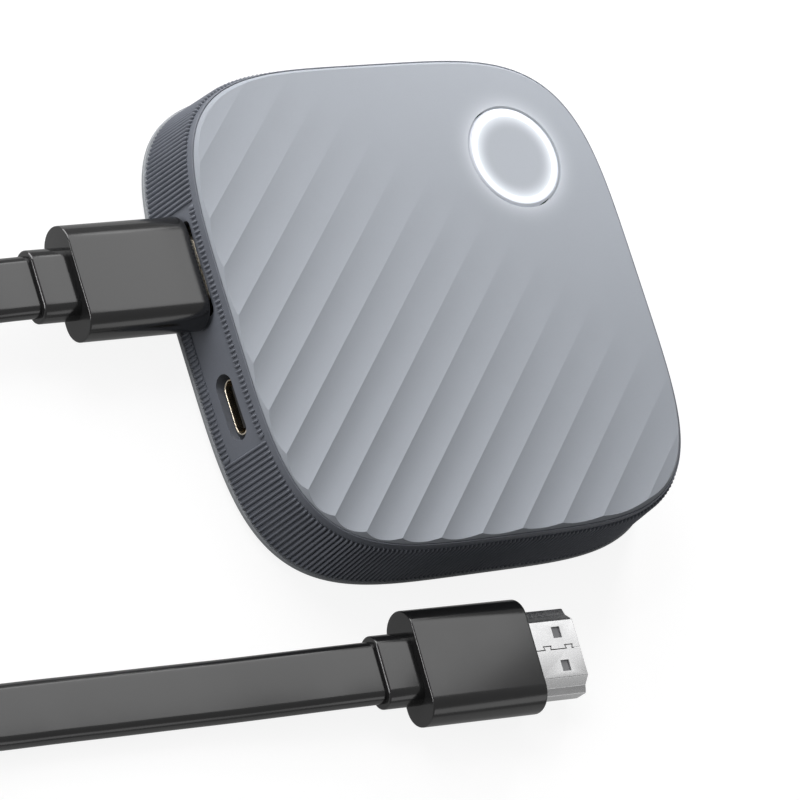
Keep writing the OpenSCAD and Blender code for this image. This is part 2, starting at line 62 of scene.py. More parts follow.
MM = 0.001
HOUSING, BUTTON, LEAD = "housing", "button", "display_lead"

# Exponent of the rounded-square outline of the body
SQUARENESS = 4.2
# Sheet metal of the plugs and the power socket
SHEET = 0.3 * MM

# Middle line of the free cable in millimetres: x, y, z and roll in degrees
ROUTE = (
    (-68.65, 9.7, 7.5, 0), (-75, 9.6, 7.5, 0), (-82, 9.5, 7.2, 4), (-90, 9.4, 6.7, 14),
    (-98, 9.4, 6.2, 28), (-106, 9.4, 5.8, 43), (-114, 9.4, 5.5, 58), (-122, 9.4, 5.2, 72),
    (-131, 9.4, 5, 83), (-140, 9.4, 5, 89), (-149, 9.4, 5, 90), (-158, 9.2, 5, 90),
    (-168, 7.6, 5, 90), (-176.5, 3.4, 5, 90), (-183.5, -3.4, 5, 90), (-188, -12.2, 5, 90),
    (-189.5, -21.6, 5, 90), (-188, -31, 5, 90), (-183.5, -39.8, 5, 90),
    (-176.5, -46.6, 5, 90), (-168, -51, 5, 90), (-158, -52.6, 5, 90),
    (-148, -52.8, 5, 90), (-140, -52.8, 5, 86), (-132, -52.8, 4.9, 75),
    (-124, -52.8, 4.5, 58), (-116, -52.8, 3.8, 38), (-108, -52.8, 2.9, 20),
    (-100, -52.8, 2.2, 7), (-92, -52.9, 1.8, 0), (-82, -53.1, 1.7, 0), (-72, -53.4, 1.7, 0),
    (-62, -53.7, 1.8, 0), (-52, -54.1, 2.2, 0), (-42, -54.5, 2.9, 0), (-34, -54.8, 3.4, 0),
    (-25.997, -55.046, 3.6, 0),
)
# Steps swept between one route point and the next
ROUTE_STEPS = 6
# Middle of the free grip's back
FREE_GRIP_AT = (-19.5 * MM, -55.25 * MM)


@lru_cache(maxsize=None)
def node_box(node):
    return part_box(node)


def low(node):
    return node_box(node)[0]


def high(node):
    return node_box(node)[1]


def middle(node):
    return (low(node) + high(node)) / 2


# sizes and colours a user would change


def number(name, description, default, **more):
    return FloatProperty(name=name, description=description, default=default, **more)


def length(name, description, default, **more):
    return number(name, description, default, unit="LENGTH", **more)


def power(name, description, default):
    return number(name, description, default, unit="POWER", min=0)


def colour(name, description, value):
    return FloatVectorProperty(
        name=name, description=description, default=value, size=3, min=0, max=1,
        subtype="COLOR")


class AdapterBody(bpy.types.PropertyGroup):
    half: length("Half width over the ribs", "From the middle to the ribs' crests at the foot",
                 high("bottom_cover").x - 0.35 * MM, min=0.03)
    flare: length("Flare", "How much wider the ribbed wall is at its foot than at its top",
                  0.82 * MM, min=0)
    power: number("Squareness", "Exponent of the rounded-square outline", SQUARENESS, min=2)
    rim: length("Rim height", "Height of the smooth rim over the ribs", 1.3 * MM)
    rim_round: length("Rim rounding", "Radius of the rim's upper outer edge", 0.12 * MM)
    seat_gap: length("Cover gap", "Dark gap between the rim and the cover", 0.08 * MM)
    rim_flat: length("Rim flat", "Width of the rim's flat top", 0.08 * MM)
    rib_count: IntProperty(
        name="Ribs", description="Number of ribs round the wall", default=346, min=60)
    rib_depth: length("Rib depth", "How far a rib stands out of its groove", 0.42 * MM)
    rib_width: length("Rib half width", "Half of a rib's width at its foot", 0.27 * MM)
    rib_ease: length("Rib end", "Height over which a rib's top narrows to a tooth", 0.35 * MM)
    lip: length("Lip", "How far the bottom cover stands out past the ribs' feet", 0.2 * MM)
    panel_length: length("Panel length", "Length of the sunk panel round the sockets", 38.8 * MM)
    panel_height: length("Panel height", "Height of the sunk panel", 8.0 * MM)
    panel_radius: length("Panel corner", "Corner radius of the sunk panel", 2.0 * MM)


class AdapterCover(bpy.types.PropertyGroup):
    half: length("Half width", "From the middle to the cover's edge at the joint",
                 high("top_cover").x - 0.2 * MM)
    bevel: length("Bevel", "Width in plan of the sloping edge", 0.6 * MM)
    pitch: length("Flute pitch", "Distance from crest to crest", 5.53 * MM)
    shift: length("Flute shift", "Sideways place of the middle crest", 0.4 * MM)
    deep: length("Flute depth", "Depth of the hollows at the corner where they are deepest",
                 0.5 * MM)
    end: length("Flute end", "Distance past the middle at which the flutes run out", 19 * MM)


class AdapterButton(bpy.types.PropertyGroup):
    radius: length("Button radius", "Outside of the light ring", 8.5 * MM)
    ring: length("Ring width", "Width of the light ring", 1.6 * MM)
    edge: length("Ring edge", "Radius of the ring's rounded outer edge", 0.5 * MM)
    gap: length("Gap", "Gap between the ring and the cover", 0.25 * MM)
    glow: number("Glow", "Strength of the lit ring", 0.5, min=0)


class AdapterLead(bpy.types.PropertyGroup):
    width: length("Cable width", "Width of the flat cable", 9.8 * MM)
    thickness: length("Cable thickness", "Thickness of the flat cable", 3.3 * MM)
    turn: number("Free plug's turn", "Heading of the free plug from the X axis",
                 math.radians(-1.8), unit="ROTATION")


class AdapterColours(bpy.types.PropertyGroup):
    cover: colour("Cover", "Pale blue-grey of the cover and button", (0.345, 0.368, 0.408))
    frame: colour("Side wall", "Charcoal of the ribbed wall", (0.16, 0.172, 0.202))
    base: colour("Base", "Grey of the bottom cover", (0.33, 0.345, 0.365))
    lead: colour("Lead", "Black of the cable and grips", (0.014, 0.014, 0.0145))
    metal: colour("Plug metal", "Nickel of the plug's shell", (0.78, 0.78, 0.785))


class AdapterStage(bpy.types.PropertyGroup):
    lens: number("Lens", "Focal length on a 36 mm sensor", 229.5, unit="CAMERA")
    key: power("Key light", "Lamp behind and to the left", 1.36)
    card: power("Card", "Large lamp overhead", 0.66)
    near: power("Near light", "Small lamp beside the button's corner", 0.26)
    front: power("Front card", "Wide low lamp that gloss shows", 0.32)
    band: power("Band", "Small far lamp that lines the seated grip's edge", 0.077)
    fill: power("Fill light", "Soft lamp that faces the port wall", 0.6)
    sky: number("Sky", "Strength of the even light all round", 0.12)
    sky_in_gloss: number("Sky in gloss", "Strength of the backdrop as gloss and metal show it",
                         0.25)


# meshes


def arc(start, end, steps):
    """(cosine, sine) at even steps from one angle to the other."""
    angles = (start + (end - start) * k / steps for k in range(steps + 1))
    return [(math.cos(a), math.sin(a)) for a in angles]


def quarter(steps):
    return arc(0, math.pi / 2, steps)


def circle(count):
    return arc(0, 2 * math.pi, count)[:-1]


def reach(half, angle, squareness):
    """Distance from the middle to the rounded-square outline."""
    c, s = abs(math.cos(angle)), abs(math.sin(angle))
    return half / (c ** squareness + s ** squareness) ** (1 / squareness)


def outline_point(half, angle, height, squareness):
    r = reach(half, angle, squareness)
    return Vector((r * math.cos(angle), r * math.sin(angle), height))


def plan_ring(half, height, squareness, count):
    return [outline_point(half, 2 * math.pi * i / count, height, squareness)
            for i in range(count)]


def loft(rings, closed=False):
    """Vertices and faces through rings of like counts; closed joins the last to the first."""
    n = len(rings[0])
    verts = [p for ring in rings for p in ring]
    faces = []
    for j in range(len(rings) if closed else len(rings) - 1):
        a, b = j * n, (j + 1) % len(rings) * n
        for i in range(n):
            k = (i + 1) % n
            faces.append((a + i, a + k, b + k, b + i))
    if not closed:
        faces.append(tuple(reversed(range(n))))
        faces.append(tuple(range((len(rings) - 1) * n, len(rings) * n)))
    return verts, faces


def turned(profile, centre):
    """A turning of (radius, height) points about a vertical axis."""
    return loft([[centre + Vector((r * c, r * s, z)) for r, z in profile]
                 for c, s in circle(192)], closed=True)


def box_mesh(corner_low, corner_high):
    (x0, y0, z0), (x1, y1, z1) = corner_low, corner_high
    square = (x0, y0), (x1, y0), (x1, y1), (x0, y1)
    return loft([[Vector((x, y, z)) for x, y in square] for z in (z0, z1)])


def bare_object(name, verts, faces):
    mesh = bpy.data.meshes.new(name)
    mesh.from_pydata([tuple(v) for v in verts], [], faces)
    work = bmesh.new()
    work.from_mesh(mesh)
    bmesh.ops.remove_doubles(work, verts=work.verts, dist=1e-7)
    bmesh.ops.recalc_face_normals(work, faces=work.faces)
    work.to_mesh(mesh)
    work.free()
    made = bpy.data.objects.new(name, mesh)
    bpy.context.scene.collection.objects.link(made)
    return made


def baked(made):
    """The object's evaluated shape as its plain mesh, with no modifier left."""
    bpy.context.view_layer.update()
    seen = made.evaluated_get(bpy.context.evaluated_depsgraph_get())
    mesh = bpy.data.meshes.new_from_object(seen)
    made.modifiers.clear()
    made.data = mesh


def cut_away(made, *cutters):
    for cutter in cutters:
        step = made.modifiers.new("cut", "BOOLEAN")
        step.operation, step.solver, step.object = "DIFFERENCE", "EXACT", cutter
    baked(made)
    for cutter in cutters:
        bpy.data.objects.remove(cutter)


def finish_piece(context, made, slot, body, sharp, *nodes, finish=None):
    """Material (named by slot unless finish is given), shading and body of a piece; the CAD
    nodes that it stands for are hidden.
    """
    made.data.materials.clear()
    made.data.materials.append(shared_material(context, finish or slot))
    made.data.shade_smooth()
    made.data.set_sharp_from_angle(angle=math.radians(sharp))
    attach(made, body)
    if nodes:
        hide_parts(*nodes)


def oval_ring(width, thick, count):
    """Flat-sided oval across a lead: (along its width, along its thickness)."""
    r, run = thick / 2, (width - thick) / 2
    return [(side * run + r * abs(c) * side, r * s)
            for side in (1, -1)
            for c, s in arc(side * math.pi / 2, (side - 2) * math.pi / 2, count)]


# materials


class Nodes:
    """Short ways to add and link the shader nodes of a finish."""

    def __init__(self, name):
        self.material = bpy.data.materials.new(f"{name}_finish")
        self.material.use_nodes = True
        self.tree = self.material.node_tree
        self.shader = self.tree.nodes["Principled BSDF"]
        self.place = self.add("ShaderNodeTexCoord").outputs["Object"]

    def add(self, kind, **settings):
        node = self.tree.nodes.new(kind)
        for key, value in settings.items():
            if key in node.inputs:
                self.join(value, node.inputs[key])
            else:
                setattr(node, key, value)
        return node

    def join(self, value, socket):
        if isinstance(value, bpy.types.NodeSocket):
            self.tree.links.new(value, socket)
        else:
            socket.default_value = value

    def math(self, operation, *values):
        node = self.add("ShaderNodeMath", operation=operation)
        for socket, value in zip(node.inputs, values):
            self.join(value, socket)
        return node.outputs[0]

    def noise(self, size, detail=3.0, rough=0.55, place=None):
        """Noise whose grains are about size metres across."""
        node = self.add("ShaderNodeTexNoise", Scale=1 / size, Detail=detail, Roughness=rough)
        self.join(place or self.place, node.inputs["Vector"])
        return node.outputs["Fac"]

    def ramp(self, value, low_at, high_at, low_to=0.0, high_to=1.0, kind="LINEAR"):
        node = self.add("ShaderNodeMapRange", interpolation_type=kind)
        for socket, v in zip(node.inputs, (value, low_at, high_at, low_to, high_to)):
            self.join(v, socket)
        return node.outputs[0]

    def tint(self, share, tint, least, most):
        """The shader's colour: the tint scaled from least to most."""
        node = self.add("ShaderNodeMix", data_type="RGBA")
        self.join(share, node.inputs[0])
        for socket, factor in ((node.inputs[6], least), (node.inputs[7], most)):
            socket.default_value = (*(min(1.0, c * factor) for c in tint), 1.0)
        self.join(node.outputs[2], self.shader.inputs["Base Color"])

    def sheen(self, value, low_at, high_at, least, most):
        self.join(self.ramp(value, low_at, high_at, least, most),
                  self.shader.inputs["Roughness"])

    def bump(self, height, strength, distance):
        node = self.add("ShaderNodeBump", Strength=strength, Distance=distance, Height=height)
        self.join(node.outputs["Normal"], self.shader.inputs["Normal"])

    def lit(self, strength):
        """Light from inside the plastic."""
        self.shader.inputs["Emission Color"].default_value = (0.93, 0.97, 1.0, 1.0)
        self.join(strength, self.shader.inputs["Emission Strength"])


def moulded(name, tint, rough, grain, grain_depth, variation=0.06, rough_spread=0.08, gloss=0.5):
    """Moulded plastic: fine spark-eroded grain, slight cloudiness, uneven sheen; grain in mm."""
    n = Nodes(name)
    grain *= MM
    cloud = n.noise(9 * MM, 4.0)
    speck = n.noise(grain * 1.7, 2.0)
    tone = n.ramp(n.math("MULTIPLY_ADD", speck, 0.4, n.math("MULTIPLY", cloud, 0.6)), 0.3, 0.7)
    n.tint(tone, tint, 1 - variation, 1 + variation)
    n.sheen(cloud, 0.3, 0.7, rough - rough_spread / 2, rough + rough_spread / 2)
    n.bump(n.noise(grain, 2.0, 0.6), 0.5, grain_depth * MM)
    n.shader.inputs["Specular IOR Level"].default_value = gloss
    return n


def metal(name, tint, rough, streak):
    """Plated sheet metal: faint streaks drawn along X and a smudged sheen; streak in mm."""
    n = Nodes(name)
    drawn = n.add("ShaderNodeMapping", Vector=n.place, Scale=(0.15, 1.0, 1.0))
    lines = n.noise(streak * MM, 3.0, 0.6, drawn.outputs["Vector"])
    smudge = n.noise(3 * MM)
    n.tint(lines, tint, 0.96, 1.03)
    n.sheen(n.math("ADD", lines, smudge), 0.7, 1.3, rough * 0.88, rough * 1.12)
    n.bump(lines, 0.15, 0.002 * MM)
    n.shader.inputs["Metallic"].default_value = 1.0
    return n


def button_centre():
    centre = middle("button_light_ring")
    return Vector((centre.x, centre.y, 0))


def from_button(n):
    """Distance from the button's axis, in metres."""
    flat = n.add("ShaderNodeVectorMath", operation="MULTIPLY")
    n.join(n.place, flat.inputs[0])
    flat.inputs[1].default_value = (1, 1, 0)
    away = n.add("ShaderNodeVectorMath", operation="DISTANCE")
    n.join(flat.outputs[0], away.inputs[0])
    away.inputs[1].default_value = button_centre()
    return away.outputs["Value"]


# Width of the lit halo in the cover round the ring, and in the cap inside it
HALO, CAP_HALO = 5.0 * MM, 2.4 * MM


def cover_finish(name, sizes, tint):
    n = moulded(name, tint, 0.6, 0.16, 0.012, 0.025, gloss=0.3)
    edge = sizes.radius
    halo = n.ramp(from_button(n), edge + sizes.gap, edge + HALO, 1.0, 0.0)
    n.lit(n.math("MULTIPLY", n.math("POWER", halo, 3.5), 0.4 * sizes.glow))
    return n


def cap_finish(name, sizes, tint):
    n = moulded(name, tint, 0.6, 0.16, 0.012, 0.025, gloss=0.3)
    inner = sizes.radius - sizes.ring
    halo = n.ramp(from_button(n), inner - CAP_HALO, inner)
    n.lit(n.math("MULTIPLY_ADD", n.math("POWER", halo, 2.2), 0.88 * sizes.glow,
                 0.12 * sizes.glow))
    return n


def ring_finish(name, sizes, tint):
    """The ring keeps its own milky tint, and its rounded edge is dimmer than its face."""
    n = moulded(name, (0.50, 0.52, 0.58), 0.35, 0.16, 0.008, 0.01)
    edge = sizes.radius - sizes.edge
    bright = n.ramp(from_button(n), edge, edge + 0.2 * MM, 1.0, 0.3, "SMOOTHSTEP")
    n.lit(n.math("MULTIPLY", bright, sizes.glow))
    return n


LIT_FINISHES = {
    "cover_plastic": cover_finish, "button_plastic": cap_finish, "light_ring": ring_finish,
}
# Colour setting, roughness, grain and its depth in millimetres, and other settings
CASE_FINISHES = {
    "frame_plastic": ("frame", 0.55, 0.14, 0.02, {"variation": 0.10}),
    "base_plastic": ("base", 0.45, 0.16, 0.01, {"variation": 0.04}),
    "lead_plastic": ("lead", 0.17, 0.12, 0.0006,
                     {"variation": 0.08, "rough_spread": 0.04, "gloss": 1.0}),
}
# Colour, roughness, grain and its depth in millimetres
PLAIN_FINISHES = {
    "foot_rubber": ((0.035, 0.035, 0.037), 0.75, 0.25, 0.03),
    "light_pipe": ((0.75, 0.78, 0.80), 0.30, 0.30, 0.01),
    "socket_plastic": ((0.012, 0.012, 0.013), 0.45, 0.15, 0.01),
    "board": ((0.02, 0.10, 0.05), 0.35, 0.40, 0.01),
    "chip": ((0.015, 0.015, 0.016), 0.50, 0.12, 0.01),
    "ceramic": ((0.36, 0.26, 0.16), 0.50, 0.12, 0.01),
    "pad": ((0.20, 0.28, 0.38), 0.80, 0.30, 0.03),
}
# Colour, roughness and width of the drawn streaks in millimetres
METAL_FINISHES = {
    "screw_steel": ((0.55, 0.56, 0.58), 0.35, 0.12),
    "socket_steel": ((0.86, 0.77, 0.62), 0.22, 0.10),
    "latch_steel": ((0.30, 0.30, 0.31), 0.50, 0.10),
    "contact_metal": ((0.83, 0.60, 0.24), 0.22, 0.10),
    "spreader": ((0.72, 0.73, 0.74), 0.38, 0.20),
}


def shared_material(context, name):
    """The finish of that name, made once; the frame's own plain materials have bare names."""
    found = bpy.data.materials.get(f"{name}_finish")
    if found:
        return found
    tints = context.scene.adapter_colours
    if name in LIT_FINISHES:
        made = LIT_FINISHES[name](name, context.scene.adapter_button, tints.cover)
    elif name in CASE_FINISHES:
        setting, *values, more = CASE_FINISHES[name]
        made = moulded(name, getattr(tints, setting), *values, **more)
    elif name == "plug_steel":
        made = metal(name, tints.metal, 0.27, 0.1)
    elif name in METAL_FINISHES:
        made = metal(name, *METAL_FINISHES[name])
    else:
        made = moulded(name, *PLAIN_FINISHES[name])
    return made.material


# stage

# Camera's place, and the directions of its picture's right and down
CAMERA_AT = (-0.474387, -0.212504, 0.603394)
CAMERA_RIGHT = (0.79874, -0.28965, 0.52738)
CAMERA_DOWN = (-0.08679, -0.9228, -0.37538)
# Lamps: the setting that holds the power, place, aim and size
LAMPS = (
    ("key", (-0.105, 0.283, 0.177), (0, 0, 0), (0.32, 0.32)),
    ("card", (0.34, 0.26, 0.60), (-0.03, 0.08, 0), (0.45, 0.35)),
    ("near", (0.13, 0.13, 0.085), (0.01, 0.01, 0), (0.05, 0.05)),
    ("front", (0.535, -0.62, 0.34), (0, -0.03, 0), (0.5, 0.3)),
    ("band", (0.31, 0.42, 0.40), (-0.06, 0.01, 0), (0.12, 0.12)),
    ("fill", (-0.45, 0.05, 0.11), (-0.04, 0, 0), (0.2, 0.1)),
)
# Floor's corners, its grey, and its brightness to the camera and in gloss
FLOOR_BOX = (-3, -3, -0.01), (3, 3, 0)
FLOOR_GREY, FLOOR_SEEN, FLOOR_IN_GLOSS = 0.2, 0.88, 0.32


def seen_strength(tree, plain, seen, glossy):
    """A strength of its own for camera and see-through rays, and one for rays off gloss."""
    path = tree.nodes.new("ShaderNodeLightPath").outputs
    either = tree.nodes.new("ShaderNodeMath")
    either.operation = "MAXIMUM"
    tree.links.new(path["Is Camera Ray"], either.inputs[0])
    tree.links.new(path["Is Transmission Ray"], either.inputs[1])
    shares = (either.outputs[0], seen - plain), (path["Is Glossy Ray"], glossy - plain)
    total = None
    for share, more in shares:
        step = tree.nodes.new("ShaderNodeMath")
        step.operation = "MULTIPLY_ADD"
        tree.links.new(share, step.inputs[0])
        step.inputs[1].default_value = more
        step.inputs[2].default_value = plain
        if total:
            tree.links.new(total, step.inputs[2])
        total = step.outputs[0]
    return total


def add_lamp(context, name, place, aim, size):
    data = bpy.data.lights.new(name, "AREA")
    data.shape, data.size, data.size_y = "RECTANGLE", *size
    data.energy = getattr(context.scene.adapter_stage, name)
    made = bpy.data.objects.new(name, data)
    made.location = place
    made.rotation_euler = (Vector(aim) - made.location).to_track_quat("-Z", "Y").to_euler()
    context.scene.collection.objects.link(made)


def floor_material():
    """White to the camera, with the object's shadow kept."""
    n = Nodes("floor")
    for name, value in (("Base Color", (*[FLOOR_GREY] * 3, 1)),
                        ("Roughness", 0.9), ("Specular IOR Level", 0.0),
                        ("Emission Color", (1, 1, 1, 1))):
        n.shader.inputs[name].default_value = value
    n.join(seen_strength(n.tree, 0.0, FLOOR_SEEN, FLOOR_IN_GLOSS),
           n.shader.inputs["Emission Strength"])
    return n.material


class ADAPTER_OT_stage(bpy.types.Operator):
    """Camera at the photograph's angle, pale floor, soft studio light"""

    bl_idname = "adapter.stage"
    bl_label = "Stage"

    def execute(self, context):
        stage = context.scene.adapter_stage
        lens = bpy.data.cameras.new("camera")
        lens.lens, lens.sensor_width = stage.lens, 36
        lens.clip_start, lens.clip_end = 0.05, 10
        camera = bpy.data.objects.new("camera", lens)
        right, down = Vector(CAMERA_RIGHT).normalized(), Vector(CAMERA_DOWN).normalized()
        turn = Matrix((right, -down, -right.cross(down))).transposed().to_4x4()
        camera.matrix_world = Matrix.Translation(CAMERA_AT) @ turn
        context.scene.collection.objects.link(camera)
        context.scene.camera = camera

        floor = bare_object("floor", *box_mesh(*FLOOR_BOX))
        floor.data.materials.append(floor_material())
        for lamp in LAMPS:
            add_lamp(context, *lamp)

        world = bpy.data.worlds.new("studio")
        context.scene.world = world
        world.use_nodes = True
        sky = world.node_tree.nodes["Background"]
        sky.inputs["Color"].default_value = (1, 1, 1, 1)
        strength = seen_strength(world.node_tree, stage.sky, 1.0, stage.sky_in_gloss)
        world.node_tree.links.new(strength, sky.inputs["Strength"])
        context.scene.view_settings.view_transform = "Standard"
        return {"FINISHED"}


# lead


def smooth_route():
    """The route's middle line as (point, roll), through its points."""
    line = []
    last = len(ROUTE) - 1
    for i in range(last):
        p = [Vector(ROUTE[max(0, min(last, i + k))]) for k in (-1, 0, 1, 2)]
        for k in range(ROUTE_STEPS):
            t = k / ROUTE_STEPS
            line.append(0.5 * (2 * p[1] + (p[2] - p[0]) * t
                               + (2 * p[0] - 5 * p[1] + 4 * p[2] - p[3]) * t * t
                               + (3 * p[1] - p[0] - 3 * p[2] + p[3]) * t * t * t))
    line.append(Vector(ROUTE[last]))
    return [(v.to_3d() * MM, math.radians(v[3])) for v in line]


class ADAPTER_OT_cable(bpy.types.Operator):
    """The flat cable, swept along its route"""

    bl_idname = "adapter.cable"
    bl_label = "Cable"

    def execute(self, context):
        sizes = context.scene.adapter_lead
        line = smooth_route()
        path = [point for point, roll in line]
        headings = [(after - before).normalized() for before, after in zip(path, path[2:])]
        headings.insert(0, Vector((-1, 0, 0)))
        headings.append(Vector((math.cos(sizes.turn), math.sin(sizes.turn), 0)))
        oval = oval_ring(sizes.width, sizes.thickness, 16)
        rings = []
        for (point, roll), ahead in zip(line, headings):
            side = ahead.cross(Vector((0, 0, 1))).normalized()
            up = side.cross(ahead)
            c, s = math.cos(roll), math.sin(roll)
            rings.append([point + side * (w * c - t * s) + up * (w * s + t * c)
                          for w, t in oval])
        cable = bare_object("flat_cable", *loft(rings))
        finish_piece(context, cable, "lead_plastic", LEAD, 40, "lead_cable")
        return {"FINISHED"}


def oval_body(size, front, back, place):
    """A flat-sided oval body of that size along X, with its front and back edges rounded."""
    levels = [(back * (1 - c), back * (1 - s)) for c, s in quarter(8)]
    levels += [(size.x - front * (1 - s), front * (1 - c)) for c, s in quarter(8)]
    return loft([[place @ Vector((x, w, t))
                  for w, t in oval_ring(size.y - 2 * inset, size.z - 2 * inset, 24)]
                 for x, inset in levels])


# Half width and half height of the plug's shell
PLUG_HALF = (6.95 * MM, 2.225 * MM)
# Right side of the plug's outline from below, as shares of its half width and half height, and
# how far each of its corners moves out and up where the outline is grown
PLUG_SHARES = ((1, -1), (1, 0.2), (0.83, 0.4), (0.66, 1))
GROW_SHARES = ((1, -1), (1, 0.68), (0.58, 0.85), (0.44, 1))
PLUG_TIP = 9.3 * MM
# Shell's levels: distance from the grip, growth and corner radius, outside and then inside
SHELL_LEVELS = (
    (0, 0, 0.22 * MM), (PLUG_TIP - 0.12 * MM, 0, 0.22 * MM), (PLUG_TIP, -0.1 * MM, 0.18 * MM),
    (PLUG_TIP, -SHEET, 0.08 * MM), (0, -SHEET, 0.08 * MM),
)
# Seam: half its width, its tabs' places, their height, and half their width at foot and head
SEAM_HALF, TABS, TAB_HEIGHT = 0.08 * MM, (3.02, 7.12), 0.58 * MM
TAB_FOOT, TAB_HEAD = 0.55, 0.73
# Latch windows: half size along and across, their front edge's distance from the tip, and how
# far their middle lies to either side
WINDOW = (0.8 * MM, 0.9 * MM)
WINDOW_BACK, WINDOW_ASIDE = 2.95 * MM, 2.7 * MM
# Rounding of the grips' front edges and back edges, and of the collars'
SEATED_FRONT, FREE_FRONT, GRIP_BACK = 0.7 * MM, 0.45 * MM, 0.24 * MM
COLLAR_FRONT, COLLAR_BACK = 0.02 * MM, 0.35 * MM


def plug_outline(grow):
    """Outline of the metal shell across X: wide below, narrow above."""
    right = [(sx * PLUG_HALF[0] + gx * grow, sz * PLUG_HALF[1] + gz * grow)
             for (sx, sz), (gx, gz) in zip(PLUG_SHARES, GROW_SHARES)]
    return right + [(-y, z) for y, z in reversed(right)]


def eased(points, radius, steps=4):
    """The outline with its corners rounded."""
    out = []
    count = len(points)
    for i in range(count):
        a, b, c = (Vector(points[(i + k) % count]) for k in (-1, 0, 1))
        to_a, to_c = (a - b).normalized(), (c - b).normalized()
        half = to_a.angle(to_c) / 2
        away = radius / math.tan(half)
        centre = b + (to_a + to_c).normalized() * (radius / math.sin(half))
        start, end = b + to_a * away - centre, b + to_c * away - centre
        turn = start.angle_signed(end)
        out += [centre + Matrix.Rotation(-turn * k / steps, 2) @ start
                for k in range(steps + 1)]
    return out


def seam_cutter(place):
    """A thin folded strip that cuts the seam and its two dovetail tabs through the sheet."""
    line = [(-MM, 0.0)]
    for tab in TABS:
        line += [((tab - TAB_FOOT) * MM, 0.0), ((tab - TAB_HEAD) * MM, TAB_HEIGHT),
                 ((tab + TAB_HEAD) * MM, TAB_HEIGHT), ((tab + TAB_FOOT) * MM, 0.0)]
    line = [Vector(p) for p in line + [(PLUG_TIP + MM, 0.0)]]
    left, right = [], []
    for i, p in enumerate(line):
        before = (p - line[i - 1]).normalized() if i else (line[1] - p).normalized()
        after = (line[i + 1] - p).normalized() if i + 1 < len(line) else before
        square = Vector((-after.y, after.x))
        across = (Vector((-before.y, before.x)) + square).normalized()
        wide = SEAM_HALF / max(0.4, across.dot(square))
        left.append(p + across * wide)
        right.append(p - across * wide)
    top = PLUG_HALF[1]
    rings = [[place @ Vector((p.x, p.y, z)) for p in left + right[::-1]]
             for z in (top - SHEET - 0.1 * MM, top + 0.3 * MM)]
    return bare_object("seam_cutter", *loft(rings))


def at_windows(place, grow, foot, top):
    """A box at each of the two windows, larger than them by grow, between two heights."""
    a, b = WINDOW[0] + grow, WINDOW[1] + grow
    x = PLUG_TIP - WINDOW_BACK - WINDOW[0]
    boxes = []
    for y in (WINDOW_ASIDE, -WINDOW_ASIDE):
        verts, faces = box_mesh((x - a, y - b, foot), (x + a, y + b, top))
        boxes.append(([place @ v for v in verts], faces))
    return boxes


class ADAPTER_OT_plugs(bpy.types.Operator):
    """Grips, collars, metal shells and inserts at both ends of the lead"""

    bl_idname = "adapter.plugs"
    bl_label = "Plugs"

    def execute(self, context):
        turn = context.scene.adapter_lead.turn
        grip = high("plug_grip") - low("plug_grip")
        plug = middle("plug_shell")
        near = Matrix.Translation((low("plug_grip").x, plug.y, plug.z))
        far = Matrix.Translation((*FREE_GRIP_AT, grip.z / 2)) @ Matrix.Rotation(turn, 4, "Z")
        self.one_end(context, "seated", "", near, grip, SEATED_FRONT)
        self.one_end(context, "free", "far_", far, grip, FREE_FRONT)
        return {"FINISHED"}

    @staticmethod
    def one_end(context, prefix, cad, place, grip, rounding):
        body = bare_object(f"{prefix}_grip", *oval_body(grip, rounding, GRIP_BACK, place))
        finish_piece(context, body, "lead_plastic", LEAD, 40, f"{cad}plug_grip")

        collar = high("plug_collar") - low("plug_collar")
        back = place @ Matrix.Translation((-collar.x, 0, 0))
        body = bare_object(f"{prefix}_collar",
                           *oval_body(collar, COLLAR_FRONT, COLLAR_BACK, back))
        finish_piece(context, body, "lead_plastic", LEAD, 40, f"{cad}plug_collar")

        front = place @ Matrix.Translation((grip.x, 0, 0))
        top = PLUG_HALF[1]
        rings = [[front @ Vector((x, *p)) for p in eased(plug_outline(grow), radius)]
                 for x, grow, radius in SHELL_LEVELS]
        shell = bare_object(f"{prefix}_shell", *loft(rings, closed=True))
        cutters = [bare_object("window_cutter", *b)
                   for b in at_windows(front, 0, top - MM, top + MM)]
        cut_away(shell, *cutters, seam_cutter(front))
        finish_piece(context, shell, "plug_steel", LEAD, 30, f"{cad}plug_shell")

        insert = frame["nodes"][f"{cad}plug_insert"].data
        copy = bare_object(f"{prefix}_insert", [v.co for v in insert.vertices],
                           [tuple(p.vertices) for p in insert.polygons])
        finish_piece(context, copy, "socket_plastic", LEAD, 30, f"{cad}plug_insert")

        verts, faces = [], []
        under = top - SHEET
        for box in at_windows(front, 0.15 * MM, under - 0.06 * MM, under - 0.01 * MM):
            faces += [tuple(k + len(verts) for k in face) for face in box[1]]
            verts += box[0]
        latch = bare_object(f"{prefix}_latch", verts, faces)
        finish_piece(context, latch, "plug_steel", LEAD, 30, finish="latch_steel")


# cover and button

# Places across one flute, finer beside the crests
FLUTE_SHARES = (0, 0.03, 0.09, 0.18, 0.29, 0.4, 0.5, 0.6, 0.71, 0.82, 0.91, 0.97)
# Places beside the two far corners, in millimetres from them
CORNER_PLACES = (0.004, 0.02, 0.06, 0.13, 0.25, 0.4, 0.6, 0.85, 1.1)
CORNER_WIDTH = 1.2 * MM
# Steps along a flute and down the sloping edge, and rounds of the searches for the edge
FACE_STEPS, EDGE_STEPS, EDGE_HALVINGS, EDGE_ROUNDS = 72, 12, 44, 6
# Drop of the frame's ledge, which the cover rests on, below the joint
LEDGE_DROP = 1.05 * MM
# Thickness of the cap, depth of its dish, clearance beside it and step under the ring
CAP_THICK, CAP_DISH, CAP_CLEAR, RING_FOOT = 1.4 * MM, 0.10 * MM, 0.02 * MM, 0.4 * MM


